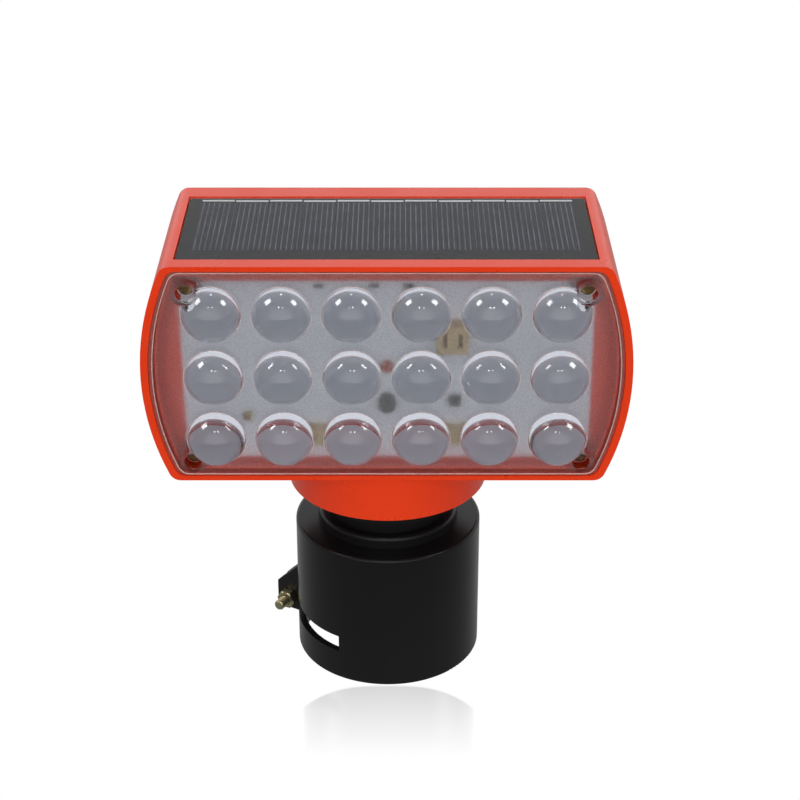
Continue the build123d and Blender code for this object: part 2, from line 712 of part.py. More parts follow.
# ---------------------------------------------------------------- battery
def battery_cell():
    """Rechargeable cylinder cell with its raised positive cap."""
    left = -CELL_LENGTH / 2 + CELL_SHIFT
    body = rod(CELL_R, (left, CELL_Y, CELL_Z), (left + CELL_LENGTH, CELL_Y, CELL_Z))
    body = fillet(body.edges().filter_by(GeomType.CIRCLE), CELL_EDGE)
    return body + rod(CELL_CAP_R, (left + CELL_LENGTH, CELL_Y, CELL_Z),
                      (left + CELL_LENGTH + CELL_CAP, CELL_Y, CELL_Z))


def battery_holder():
    """Open tray with two end walls and low side lips."""
    tray = (HOLDER_BACK - HOLDER_WALL, HOLDER_BACK)
    half_z = CELL_R + HOLDER_SIDE
    body = block((-HOLDER_HALF, HOLDER_HALF), tray, (CELL_Z - half_z, CELL_Z + half_z))
    for side in (-1, 1):
        wall = sorted((side * HOLDER_HALF, side * (HOLDER_HALF - HOLDER_WALL)))
        body += block(wall, (HOLDER_FRONT, HOLDER_BACK), (CELL_Z - half_z, CELL_Z + half_z))
        lip = sorted((CELL_Z + side * half_z, CELL_Z + side * (half_z - HOLDER_LIP)))
        body += block((-HOLDER_HALF, HOLDER_HALF), (CELL_Y, HOLDER_BACK), lip)
    return body


def battery_tape():
    """Foam tape between the holder and the back wall."""
    half_x = HOLDER_HALF - HOLDER_WALL
    return block((-half_x, half_x), (HOLDER_BACK, BACK_INNER), (CELL_Z - CELL_R, CELL_Z + CELL_R))


def battery_contacts():
    """Flat positive plate and a spring of four turns on the negative plate."""
    right = HOLDER_HALF - HOLDER_WALL
    size_y, size_z = (CELL_Y - CELL_CAP_R, CELL_Y + CELL_CAP_R), (CELL_Z - CELL_CAP_R, CELL_Z + CELL_CAP_R)
    positive = block((right - CONTACT_THICK, right), size_y, size_z)
    negative = block((-right, -right + CONTACT_THICK), size_y, size_z)
    start = -right + CONTACT_THICK
    height = -CELL_LENGTH / 2 + CELL_SHIFT - SPRING_WIRE_R - start - SPRING_WIRE_R
    coil = Helix(height / SPRING_TURNS, height, SPRING_R, (start + SPRING_WIRE_R, CELL_Y, CELL_Z), (1, 0, 0))
    spring = sweep(Plane(coil @ 0, z_dir=coil % 0) * Circle(SPRING_WIRE_R), path=coil)
    return Compound([positive, negative, *spring.solids()])


# ---------------------------------------------------------------- leads
def leads(side):
    """Battery, solar and switch leads of one polarity: side is 1 for positive, -1 for negative."""
    battery_via = BATTERY_POSITIVE_VIA if side > 0 else BATTERY_NEGATIVE_VIA
    hole_x, hole_y = WIRE_HOLE
    panel = (hole_x + side * PIN_HALF, hole_y - side * PIN_HALF, RECESS_FLOOR + SEALANT_THICK)
    tag = (SWITCH_X + side * PIN_HALF, TERMINAL_FRONT, SWITCH_Z)
    return Compound([
        lead((side * HOLDER_HALF, CELL_Y - side * PIN_HALF, CELL_Z), battery_via, "battery_connector", side),
        lead(panel, SOLAR_VIA, "solar_connector", side),
        lead(tag, SWITCH_VIA, "switch_connector", side),
    ])


# ---------------------------------------------------------------- switch
def switch_body():
    """Barrel and flange of the push switch in the back wall, open at the back for its button."""
    body = post(SWITCH_R, SWITCH_X, SWITCH_Z, SWITCH_FRONT, HEAD_BACK + SWITCH_SEAL_THICK)
    flange = post(SWITCH_FLANGE_R, SWITCH_X, SWITCH_Z, HEAD_BACK + SWITCH_SEAL_THICK, SWITCH_BACK)
    flange = chamfer(flange.edges().sort_by(Axis.Y)[-1], THREAD_CHAMFER)
    floor = SWITCH_FRONT + SWITCH_FLOOR
    return body + flange - post(BUTTON_R + HOLE_GAP, SWITCH_X, SWITCH_Z, floor, SWITCH_BACK)


def switch_seal():
    """Rubber washer under the switch's flange."""
    ends = (HEAD_BACK, HEAD_BACK + SWITCH_SEAL_THICK)
    return post(SWITCH_FLANGE_R, SWITCH_X, SWITCH_Z, *ends) - post(SWITCH_R, SWITCH_X, SWITCH_Z, *ends)


def switch_nut():
    """Hexagon nut that clamps the switch from inside."""
    ends = [(SWITCH_X, y, SWITCH_Z) for y in (BACK_INNER - SWITCH_NUT_THICK, BACK_INNER)]
    return hexagon(SWITCH_NUT_AF, *ends) - rod(SWITCH_R, *ends)


def switch_terminals():
    """Two solder tags behind the switch."""
    return Compound([
        block((SWITCH_X + side * PIN_HALF - TAG_HALF, SWITCH_X + side * PIN_HALF + TAG_HALF),
              (TERMINAL_FRONT, SWITCH_FRONT), (SWITCH_Z - TAG_HEIGHT / 2, SWITCH_Z + TAG_HEIGHT / 2))
        for side in (-1, 1)
    ])


def switch_button():
    """Round push button, proud of the flange by more than its travel."""
    inner = SWITCH_FRONT + SWITCH_FLOOR + BUTTON_ROOM
    button = post(BUTTON_R, SWITCH_X, SWITCH_Z, inner, SWITCH_BACK + BUTTON_PROUD)
    return fillet(button.edges().sort_by(Axis.Y)[-1], THREAD_CHAMFER)


# ---------------------------------------------------------------- swivel stack
def pivot_bolt():
    """Hexagon bolt held in the shell's pocket, down through the deck."""
    body = hexagon(PIVOT_AF, (0, 0, FLOOR_TOP), (0, 0, FLOOR_TOP + PIVOT_HEAD))
    shank = rod(PIVOT_R, (0, 0, FLOOR_TOP), (0, 0, FLOOR_TOP - PIVOT_LENGTH))
    return body + chamfer(shank.edges().sort_by(Axis.Z)[0], THREAD_CHAMFER)


def pivot_o_ring():
    """O-ring round the bolt in the shell's underside."""
    ring = Torus(PIVOT_R + 1.5 * O_RING_SECTION + HOLE_GAP / 2, O_RING_SECTION)
    return Pos(0, 0, HEAD_BOTTOM + O_RING_SECTION) * ring


def friction_washers():
    """Nylon washers above and below the deck."""
    below = NECK_TOP - DECK_THICK
    return Compound([
        disc(NECK_R, PIVOT_R + HOLE_GAP, NECK_TOP, NECK_TOP + FRICTION_THICK),
        disc(WASHER_R, PIVOT_R + HOLE_GAP, below - FRICTION_THICK, below),
    ])


def pivot_washer():
    """Flat steel washer under the lower friction washer."""
    top = NECK_TOP - DECK_THICK - FRICTION_THICK
    return disc(WASHER_R, PIVOT_R + HOLE_GAP, top - STEEL_WASHER_THICK, top)


def wave_washer():
    """Dished spring washer that keeps the swivel stiff."""
    top = NECK_TOP - DECK_THICK - FRICTION_THICK - STEEL_WASHER_THICK
    outer, inner = WAVE_R, PIVOT_R + HOLE_GAP
    return turned([(inner, top - WAVE_RISE), (outer, top - WAVE_THICK), (outer, top),
                   (inner, top - WAVE_RISE + WAVE_THICK)])


def pivot_nut():
    """Locking nut in the neck cavity, reached up the bore."""
    top = NECK_TOP - DECK_THICK - FRICTION_THICK - STEEL_WASHER_THICK - WAVE_RISE
    ends = [(0, 0, top - PIVOT_NUT), (0, 0, top)]
    nut = hexagon(PIVOT_AF, *ends) & rod(PIVOT_AF / 2 * NUT_CORNER, *ends)
    return nut - rod(PIVOT_R, *ends)


def skirt_screws():
    """Four screws from inside the shell into the skirt."""
    return Compound([
        machine_screw((x, y, FLOOR_TOP), (0, 0, -1), SCREW_HEAD_R, SCREW_HEAD_H, SCREW_R, SKIRT_SCREW_LENGTH)
        for x, y in skirt_screw_places()
    ])


PARTS = {
    "post_socket": post_socket(),
    "neck": neck(),
    "neck_screws": neck_screws(),
    "clamp_bolt": clamp_bolt(),
    "clamp_washer": clamp_washer(),
    "clamp_nut": clamp_nut(),
    "housing": housing(),
    "swivel_skirt": swivel_skirt(),
    "skirt_screws": skirt_screws(),
    "lens": lens(),
    "lens_gasket": lens_gasket(),
    "lens_screws": lens_screws(),
    "led_board": led_board(),
    "board_screws": board_screws(),
    "led_packages": led_packages(),
    "led_emitters": led_emitters(),
    "driver_chip": driver_chip(),
    "capacitor": capacitor(),
    "light_sensor": light_sensor(),
    "resistors": resistors(),
    "diodes": diodes(),
    "panel_sealant": panel_sealant(),
    "solar_backboard": solar_backboard(),
    "solar_cells": solar_cells(),
    "solar_ribbons": solar_ribbons(),
    "solar_cover": solar_cover(),
    "battery_cell": battery_cell(),
    "battery_holder": battery_holder(),
    "battery_tape": battery_tape(),
    "battery_contacts": battery_contacts(),
    "positive_leads": leads(1),
    "negative_leads": leads(-1),
    "switch_body": switch_body(),
    "switch_seal": switch_seal(),
    "switch_nut": switch_nut(),
    "switch_terminals": switch_terminals(),
    "switch_button": switch_button(),
    "pivot_bolt": pivot_bolt(),
    "pivot_o_ring": pivot_o_ring(),
    "friction_washers": friction_washers(),
    "pivot_washer": pivot_washer(),
    "wave_washer": wave_washer(),
    "pivot_nut": pivot_nut(),
    **{name: connector(*sizes) for name, sizes in CONNECTORS.items()},
}

os.makedirs("parts", exist_ok=True)
for name, shape in PARTS.items():
    export_step(shape, f"parts/{name}.step")
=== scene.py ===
"""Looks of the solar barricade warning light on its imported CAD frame. Metres, +Z up, lens towards -Y."""

import json
import math

import bmesh
import bpy
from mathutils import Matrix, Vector


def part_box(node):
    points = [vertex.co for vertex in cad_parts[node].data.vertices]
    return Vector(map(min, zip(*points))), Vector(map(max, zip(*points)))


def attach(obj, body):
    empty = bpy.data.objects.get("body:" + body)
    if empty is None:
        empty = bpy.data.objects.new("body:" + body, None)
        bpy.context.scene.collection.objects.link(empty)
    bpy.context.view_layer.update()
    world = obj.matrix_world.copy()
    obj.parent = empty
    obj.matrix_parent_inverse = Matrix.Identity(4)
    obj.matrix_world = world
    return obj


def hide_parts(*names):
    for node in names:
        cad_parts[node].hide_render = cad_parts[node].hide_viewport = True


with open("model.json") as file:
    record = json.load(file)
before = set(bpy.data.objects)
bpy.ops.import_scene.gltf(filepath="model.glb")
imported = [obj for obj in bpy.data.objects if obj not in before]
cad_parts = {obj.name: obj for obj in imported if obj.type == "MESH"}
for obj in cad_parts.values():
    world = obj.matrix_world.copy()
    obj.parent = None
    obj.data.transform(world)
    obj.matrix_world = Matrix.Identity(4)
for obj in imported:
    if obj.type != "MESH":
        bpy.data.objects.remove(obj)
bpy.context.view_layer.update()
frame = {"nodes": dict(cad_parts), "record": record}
nodes = frame["nodes"]

MM = 0.001

# ---- camera and stage ----
CAMERA_PLACE = (5.4 * MM, -748.8 * MM, 509.6 * MM)
CAMERA_PITCH = 27.41
CAMERA_LENS = 87.42
FLOOR_HALF = 4.0
FLOOR_SEEN = 0.66
MIRROR_NEAR = -41 * MM
MIRROR_FAR = -92 * MM
MIRROR_EDGE = 1.5 * MM
MIRROR_HALF = 44.5 * MM
MIRROR_ARC = 28 * MM
MIRROR_POWER = 3.0
FLOOR_THROUGH_LENS = 1.7
FLOOR_FRONT_GLOW = 0.06
FLOOR_BACK_GLOW = 0.4
LOW_FRONT = 1.7
FRONT_FILL = 1.75
BACK_FILL = 0.75
BAND_SEEN = 0.72
BAND_FILL = 0.52
BAND_SOFT = 0.08
LIGHT_TARGET = (0, 0, 0.15)
SIDE_LIGHTS = (  # suffix, place, width, height, radiance, whether it lights matt surfaces too
    ("", (1.05, -0.21, 1.2), 0.5, 0.6, 5.0, True),
    ("_gloss", (1.04, -0.21, 1.19), 0.4, 0.46, 13.0, False),
    ("_key", (0.18, -1.05, 1.2), 0.12, 0.12, 24.0, True),
)
LOW_SIDE = 0.35
LOW_BACK = 1.05
HIGH_UP = 0.2

# ---- lens, in the CAD's places ----
PLATE_FRONT = -43.2 * MM
PLATE_BACK = -40.2 * MM
PLATE_BEVEL = 0.45 * MM
CREST_TOP = 0.55 * MM
CREST_SIDE = 1.35 * MM
RIM_TOP = 2.25 * MM
RIM_SIDE = 3.25 * MM
PLATE_CORNER_R = 5.0 * MM
CREST_RISE = 0.1 * MM
CREST_WIDTH = 0.2 * MM
CORNER_STEPS = 10
SHOULDER_HALF = 89.3 * MM
DOME_MID = 153.8 * MM
DOME_PITCH = 28.2 * MM
DOME_COLUMNS = 6
DOME_ROWS = 3
DOME_R = 12.0 * MM
DOME_HEIGHT = 10.25 * MM
DOME_FOOT = 0.35 * MM
LENS_IOR = 1.5
LENS_SCREW_X = 80.6 * MM
LENS_SCREW_LOW = 114.7 * MM
LENS_SCREW_HIGH = 191.1 * MM
LAND_R = 5.2 * MM
TUBE_R = 6.3 * MM
TUBE_HOLE_R = 3.7 * MM
TUBE_SEAT = -36.6 * MM
TUBE_BACK = -32.6 * MM
SCREW_R = 1.5 * MM
SCREW_HEAD_R = 2.8 * MM
SCREW_HEAD_H = 2.0 * MM
SCREW_LENGTH = 14.0 * MM

# ---- clamp hardware ----
EAR_AZIMUTH = 150.0
CLAMP_AXIS_R = 50.4 * MM
CLAMP_AXIS_Z = 6.9 * MM
EAR_FACE = 5.75 * MM
CLAMP_AF = 8.0 * MM
CLAMP_WASHER = 1.0 * MM
CLAMP_HEAD = 3.5 * MM
CLAMP_NUT = 4.0 * MM
CLAMP_BOLT_R = 2.45 * MM
CLAMP_BOLT_LENGTH = 22.0 * MM
CLAMP_PITCH = 0.8 * MM

# ---- printed and textured detail ----
FINGER_PITCH = 2.2 * MM


# ---------------------------------------------------------------- node helpers
def new_material(name, **constants):
    """Principled material with constants set on its own sockets. Returns (material, tree, shader)."""
    mat = bpy.data.materials.new(name)
    mat.use_nodes = True
    tree = mat.node_tree
    shader = tree.nodes["Principled BSDF"]
    for socket, value in constants.items():
        shader.inputs[socket.replace("_", " ")].default_value = value
    return mat, tree, shader


def add(tree, kind, **inputs):
    """New node with some of its inputs set, or linked where the value is a socket."""
    node = tree.nodes.new(kind)
    for key, value in inputs.items():
        numbered = key[0] == "i" and key[1:].isdigit()
        socket = node.inputs[int(key[1:]) if numbered else key.replace("_", " ")]
        if isinstance(value, bpy.types.NodeSocket):
            tree.links.new(value, socket)
        else:
            socket.default_value = value
    return node


def object_coords(tree):
    """Object coordinates: the CAD frame, in metres."""
    return tree.nodes.new("ShaderNodeTexCoord").outputs["Object"]


def noise(tree, scale, detail=3.0, rough=0.55, coords=None):
    """Grey noise whose features are about 1/scale metres."""
    coords = coords or object_coords(tree)
    node = add(tree, "ShaderNodeTexNoise", Vector=coords, Scale=scale, Detail=detail, Roughness=rough)
    return node.outputs["Fac"]


def remap(tree, value, low, high, to_low, to_high):
    """Value moved from one range to another, clamped."""
    node = add(tree, "ShaderNodeMapRange", Value=value)
    for key, number in (("From Min", low), ("From Max", high), ("To Min", to_low), ("To Max", to_high)):
        if isinstance(number, bpy.types.NodeSocket):
            tree.links.new(number, node.inputs[key])
        else:
            node.inputs[key].default_value = number
    return node.outputs["Result"]


def math_node(tree, operation, first, second=0.0):
    """One arithmetic step."""
    node = add(tree, "ShaderNodeMath", i0=first, i1=second)
    node.operation = operation
    return node.outputs["Value"]


def blend_colours(tree, factor, first, second):
    """Mix of two colours."""
    node = tree.nodes.new("ShaderNodeMix")
    node.data_type = "RGBA"
    sockets = {"Factor": node.inputs[0], "A": node.inputs[6], "B": node.inputs[7]}
    for key, value in (("Factor", factor), ("A", first), ("B", second)):
        if isinstance(value, bpy.types.NodeSocket):
            tree.links.new(value, sockets[key])
        else:
            sockets[key].default_value = value if key == "Factor" else (*value, 1.0)
    return node.outputs[2]


def bump(tree, height, distance, strength=1.0, normal=None):
    """Bump of a given depth in metres."""
    node = add(tree, "ShaderNodeBump", Height=height, Distance=distance, Strength=strength)
    if normal is not None:
        tree.links.new(normal, node.inputs["Normal"])
    return node.outputs["Normal"]


def parts_of(tree, coords):
    """X, Y and Z of a vector."""
    return add(tree, "ShaderNodeSeparateXYZ", Vector=coords).outputs


def let_light_in(mat, tint, share=1.0):
    """Makes the shader clear to shadow and diffuse rays, so what is behind it is lit evenly."""
    tree = mat.node_tree
    output = tree.nodes["Material Output"]
    shader = output.inputs["Surface"].links[0].from_socket
    path = tree.nodes.new("ShaderNodeLightPath").outputs
    either = math_node(tree, "MAXIMUM", path["Is Shadow Ray"], path["Is Diffuse Ray"])
    clear = add(tree, "ShaderNodeBsdfTransparent", Color=(*tint, 1.0))
    mix = add(tree, "ShaderNodeMixShader", Fac=math_node(tree, "MULTIPLY", either, share))
    tree.links.new(shader, mix.inputs[1])
    tree.links.new(clear.outputs[0], mix.inputs[2])
    tree.links.new(mix.outputs[0], output.inputs["Surface"])


# ---------------------------------------------------------------- materials
def moulded(name, colour, shade, rough, grain, depth, **constants):
    """Moulded plastic: slow colour drift, uneven gloss and a fine grain. grain is in metres."""
    mat, tree, shader = new_material(name, **constants)
    drift = noise(tree, 14.0, 2.0)
    tree.links.new(blend_colours(tree, remap(tree, drift, 0.3, 0.7, 0.0, 1.0), colour, shade),
                   shader.inputs["Base Color"])
    smear = noise(tree, 60.0, 4.0, 0.6)
    tree.links.new(remap(tree, smear, 0.3, 0.7, rough * 0.85, rough * 1.2), shader.inputs["Roughness"])
    tree.links.new(bump(tree, noise(tree, 1.0 / grain, 2.0), depth), shader.inputs["Normal"])
    return mat


def metal(name, colour, tarnish, rough, scratch=0.4 * MM, depth=0.004 * MM):
    """Plated or bare steel with a mottled film and fine turning marks."""
    mat, tree, shader = new_material(name, Metallic=1.0)
    film = noise(tree, 450.0, 4.0, 0.65)
    tree.links.new(blend_colours(tree, remap(tree, film, 0.35, 0.65, 0.0, 1.0), colour, tarnish),
                   shader.inputs["Base Color"])
    tree.links.new(remap(tree, film, 0.3, 0.7, rough * 0.7, rough * 1.4), shader.inputs["Roughness"])
    tree.links.new(bump(tree, noise(tree, 1.0 / scratch, 2.0), depth), shader.inputs["Normal"])
    return mat


def lens_materials():
    """Clear acrylic for tubes, frosted face, polished domes made greyer with painted shade, a crest with a
    painted bright line, and a half-clear edge painted red.
    """
    clear, tree, shader = new_material("clear_acrylic", Base_Color=(0.97, 0.975, 0.98, 1.0), IOR=LENS_IOR,
                                       Transmission_Weight=1.0)
    tree.links.new(remap(tree, noise(tree, 90.0), 0.3, 0.7, 0.01, 0.035), shader.inputs["Roughness"])
    tree.links.new(bump(tree, noise(tree, 300.0, 1.0), 0.004 * MM), shader.inputs["Normal"])
    frost, tree, shader = new_material("frosted_acrylic", IOR=LENS_IOR, Transmission_Weight=1.0)
    grain = noise(tree, 1500.0, 2.0, 0.7)
    speck = remap(tree, grain, 0.38, 0.62, 0.0, 1.0)
    tone = blend_colours(tree, speck, (0.68, 0.69, 0.72), (1.0, 1.0, 1.0))
    tree.links.new(tone, shader.inputs["Base Color"])
    tree.links.new(remap(tree, noise(tree, 700.0), 0.3, 0.7, 0.3, 0.38), shader.inputs["Roughness"])
    tree.links.new(bump(tree, grain, 0.02 * MM), shader.inputs["Normal"])
    # Painted shade: the grey base colour darkens everything seen through the domes, standing in for the
    # shadowed board behind them.
    dome, tree, shader = new_material("polished_dome_painted_shade", Base_Color=(0.38, 0.395, 0.44, 1.0), IOR=LENS_IOR,
                                      Transmission_Weight=1.0)
    tree.links.new(remap(tree, noise(tree, 120.0), 0.3, 0.7, 0.004, 0.014), shader.inputs["Roughness"])
    tree.links.new(bump(tree, noise(tree, 260.0, 1.0), 0.006 * MM), shader.inputs["Normal"])
    for mat in (clear, frost, dome):
        let_light_in(mat, (0.66, 0.67, 0.68))
    # Painted highlight: the pale pink colour of the crest stands in for the bright line of light along the
    # lens edge.
    crest = speckled("lens_crest_painted_highlight", (0.95, 0.75, 0.72), (0.9, 0.62, 0.58), 0.25, 700.0, Alpha=0.6)
    # Partly see-through and partly painted: three quarters clear, so the rim behind shows, with a painted red
    # veil standing in for the orange rim seen through the bevel.
    edge = speckled("lens_edge_painted_red", (0.9, 0.35, 0.3), (0.85, 0.28, 0.24), 0.2, 500.0, Alpha=0.25)
    return clear, frost, dome, crest, edge


def solder_mask():
    """White board lacquer, a little cloudy."""
    mat, tree, shader = new_material("white_solder_mask", Specular_IOR_Level=0.3)
    cloud = noise(tree, 40.0, 3.0)
    tone = blend_colours(tree, remap(tree, cloud, 0.3, 0.7, 0.0, 1.0), (0.84, 0.86, 0.93), (0.77, 0.79, 0.86))
    tree.links.new(tone, shader.inputs["Base Color"])
    tree.links.new(remap(tree, noise(tree, 300.0), 0.3, 0.7, 0.35, 0.5), shader.inputs["Roughness"])
    tree.links.new(bump(tree, noise(tree, 500.0), 0.01 * MM), shader.inputs["Normal"])
    return mat


def solar_silicon():
    """Dark blue-grey cells with fine silver fingers running front to back."""
    mat, tree, shader = new_material("solar_silicon", Specular_IOR_Level=0.05)
    across = parts_of(tree, object_coords(tree))["X"]
    phase = math_node(tree, "FRACT", math_node(tree, "DIVIDE", across, FINGER_PITCH))
    from_middle = math_node(tree, "ABSOLUTE", math_node(tree, "SUBTRACT", phase, 0.5))
    finger = remap(tree, from_middle, 0.07, 0.12, 1.0, 0.0)
    speckle = noise(tree, 900.0, 3.0)
    silicon = blend_colours(tree, remap(tree, speckle, 0.35, 0.65, 0.0, 1.0), (0.008, 0.009, 0.02),
                            (0.016, 0.018, 0.034))
    streaks = remap(tree, noise(tree, 120.0, 2.0), 0.35, 0.65, 0.4, 1.0)
    shown = math_node(tree, "MULTIPLY", finger, streaks)
    tree.links.new(blend_colours(tree, shown, silicon, (0.22, 0.22, 0.25)), shader.inputs["Base Color"])
    tree.links.new(remap(tree, finger, 0.0, 1.0, 0.35, 0.5), shader.inputs["Roughness"])
    return mat


def see_through_resin():
    """Clear epoxy over the cells, slightly wavy."""
    mat, tree, shader = new_material("panel_resin", Base_Color=(0.93, 0.94, 0.97, 1.0), IOR=1.2,
                                     Transmission_Weight=1.0)
    tree.links.new(remap(tree, noise(tree, 160.0), 0.3, 0.7, 0.05, 0.12), shader.inputs["Roughness"])
    tree.links.new(bump(tree, noise(tree, 70.0, 1.0), 0.02 * MM), shader.inputs["Normal"])
    let_light_in(mat, (0.9, 0.91, 0.92))
    return mat


def speckled(name, colour, shade, rough, scale=900.0, depth=0.005 * MM, **constants):
    """Small part with a mottled surface."""
    mat, tree, shader = new_material(name, **constants)
    mottle = noise(tree, scale, 3.0)
    tree.links.new(blend_colours(tree, remap(tree, mottle, 0.35, 0.65, 0.0, 1.0), colour, shade),
                   shader.inputs["Base Color"])
    tree.links.new(remap(tree, mottle, 0.3, 0.7, rough * 0.8, rough * 1.2), shader.inputs["Roughness"])
    tree.links.new(bump(tree, mottle, depth), shader.inputs["Normal"])
    return mat


# ---------------------------------------------------------------- mesh helpers
def new_piece(name, bm, body, material, replaces=(), smooth_angle=40.0):
    """Turns a bmesh into a piece that rides on a body, smooth except at sharp edges."""
    mesh = bpy.data.meshes.new(name)
    bmesh.ops.recalc_face_normals(bm, faces=bm.faces)
    bm.to_mesh(mesh)
    bm.free()
    mesh.shade_smooth()
    mesh.set_sharp_from_angle(angle=math.radians(smooth_angle))
    piece = bpy.data.objects.new(name, mesh)
    bpy.context.scene.collection.objects.link(piece)
    for mat in material if isinstance(material, (list, tuple)) else [material]:
        mesh.materials.append(mat)
    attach(piece, body)
    if replaces:
        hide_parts(*replaces)
    return piece


def lathe(profile, segments, place, x_dir, axis):
    """Closed solid of revolution. profile is (distance along axis, radius) from axis to axis."""
    bm = bmesh.new()
    y_dir = axis.cross(x_dir)
    rings = []
    for along, radius in profile:
        centre = place + axis * along
        if radius < 1e-7:
            rings.append([bm.verts.new(centre)])
            continue
        turns = (2 * math.pi * step / segments for step in range(segments))
        rings.append([bm.verts.new(centre + (x_dir * math.cos(turn) + y_dir * math.sin(turn)) * radius)
                      for turn in turns])
    for first, second in zip(rings, rings[1:]):
        for step in range(segments):
            corners = [first[step % len(first)], first[(step + 1) % len(first)],
                       second[(step + 1) % len(second)], second[step % len(second)]]
            unique = list(dict.fromkeys(corners))
            if len(unique) > 2:
                bm.faces.new(unique)
    return bm


def combine(target, operands, operation):
    """Boolean of a piece with helper meshes, which are then deleted."""
    group = bpy.data.collections.new("operands")
    bpy.context.scene.collection.children.link(group)
    for operand in operands:
        group.objects.link(operand)
    modifier = target.modifiers.new(operation, "BOOLEAN")
    modifier.operation = operation
    modifier.solver = "EXACT"
    modifier.operand_type = "COLLECTION"
    modifier.collection = group
    graph = bpy.context.evaluated_depsgraph_get()
    mesh = bpy.data.meshes.new_from_object(target.evaluated_get(graph))
    target.modifiers.clear()
    target.data = mesh
    for operand in operands:
        bpy.data.objects.remove(operand)
    bpy.data.collections.remove(group)


def helper(name, bm):
    """Loose mesh object from a bmesh, for use in a boolean."""
    mesh = bpy.data.meshes.new(name)
    bmesh.ops.recalc_face_normals(bm, faces=bm.faces)
    bm.to_mesh(mesh)
    bm.free()
    return bpy.data.objects.new(name, mesh)


FRONT = Vector((0, -1, 0))
RIGHT = Vector((1, 0, 0))
UP = Vector((0, 0, 1))


def rod_y(radius, x, z, y_front, y_back, segments=64):
    """Cylinder along Y as a bmesh."""
    length = y_back - y_front
    profile = [(0, 0), (0, radius), (length, radius), (length, 0)]
    return lathe(profile, segments, Vector((x, y_back, z)), RIGHT, FRONT)


def dome_centres():
    """(x, z) of every dome."""
    columns = [(column - (DOME_COLUMNS - 1) / 2) * DOME_PITCH for column in range(DOME_COLUMNS)]
    rows = [DOME_MID + (row - (DOME_ROWS - 1) / 2) * DOME_PITCH for row in range(DOME_ROWS)]
    return [(x, z) for z in rows for x in columns]


def lens_screw_places():
    """(x, z) of the corner screws."""
    return [(x, z) for x in (-LENS_SCREW_X, LENS_SCREW_X) for z in (LENS_SCREW_LOW, LENS_SCREW_HIGH)]


def barrel_outline(inset_flat, inset_side, corner_r, steps=40):
    """(x, z) points of the head's barrel outline, moved in, with its corners rounded."""
    low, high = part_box("housing")
    middle, rise = (low.z + high.z) / 2, (high.z - low.z) / 2
    bulge = high.x - SHOULDER_HALF
    bow_r = (rise**2 + bulge**2) / (2 * bulge)
    side_r, bow_x, flat = bow_r - inset_side, high.x - bow_r, rise - inset_flat
    round_z = flat - corner_r
    round_x = bow_x + math.sqrt((side_r - corner_r) ** 2 - round_z**2)
    turn = math.atan2(round_z, round_x - bow_x)
    quarter = [(bow_x + side_r * math.cos(turn * step / steps), side_r * math.sin(turn * step / steps))
               for step in range(steps)]
    for step in range(CORNER_STEPS + 1):
        angle = turn + (math.pi / 2 - turn) * step / CORNER_STEPS
        quarter.append((round_x + corner_r * math.cos(angle), round_z + corner_r * math.sin(angle)))
    right = [(x, -z) for x, z in reversed(quarter[1:])] + quarter
    return [(x, middle + z) for x, z in right] + [(-x, middle - z) for x, z in right]


def plate_mesh():
    """Lens plate with a bevelled front edge that ends in a slightly raised crest."""
    bm = bmesh.new()
    loops = []
    for y, flat, side in (
        (PLATE_BACK, 0.0, 0.0),
        (PLATE_FRONT + PLATE_BEVEL, 0.0, 0.0),
        (PLATE_FRONT - CREST_RISE, CREST_TOP, CREST_SIDE),
        (PLATE_FRONT - CREST_RISE, CREST_TOP + CREST_WIDTH, CREST_SIDE + CREST_WIDTH),
        (PLATE_FRONT, CREST_TOP + 2 * CREST_WIDTH, CREST_SIDE + 2 * CREST_WIDTH),
    ):
        outline = barrel_outline(RIM_TOP + flat, RIM_SIDE + side, PLATE_CORNER_R)
        loops.append([bm.verts.new((x, y, z)) for x, z in outline])
    count = len(loops[0])
    for first, second in zip(loops, loops[1:]):
        for step in range(count):
            following = (step + 1) % count
            bm.faces.new((first[step], first[following], second[following], second[step]))
    bm.faces.new(loops[0])
    bm.faces.new(loops[-1])
    return bm


def on_crest(face):
    """True on the narrow raised line round the plate's front."""
    return face.center.y < PLATE_FRONT - 0.3 * CREST_RISE and abs(face.normal.y) > 0.5


def on_edge(face):
    """True on the plate's rim: its bevel and the side behind it."""
    return PLATE_FRONT + 0.05 * MM < face.center.y < PLATE_BACK - 0.2 * MM and abs(face.normal.y) < 0.98


def dome_mesh(x, z):
    """Spherical cap with a small swept foot, rooted in the plate."""
    radius = (DOME_R**2 + DOME_HEIGHT**2) / (2 * DOME_HEIGHT)
    edge = math.asin(min(1.0, (DOME_R - 0.02 * MM) / radius))
    steps = 26
    foot = [(-1.0 * MM, 0.0), (-1.0 * MM, DOME_R + DOME_FOOT), (0.02 * MM, DOME_R + DOME_FOOT),
            (0.1 * MM, DOME_R + DOME_FOOT * 0.35)]
    cap = []
    for step in range(steps + 1):
        angle = edge * (1 - step / steps)
        along = DOME_HEIGHT - radius * (1 - math.cos(angle))
        if along > 0.3 * MM:
            cap.append((along, radius * math.sin(angle) if step < steps else 0.0))
    return lathe(foot + cap, 96, Vector((x, PLATE_FRONT, z)), RIGHT, FRONT)


def distance_to(point, places):
    """Distance across the plate from a point to the nearest place."""
    return min(math.hypot(point.x - x, point.z - z) for x, z in places)


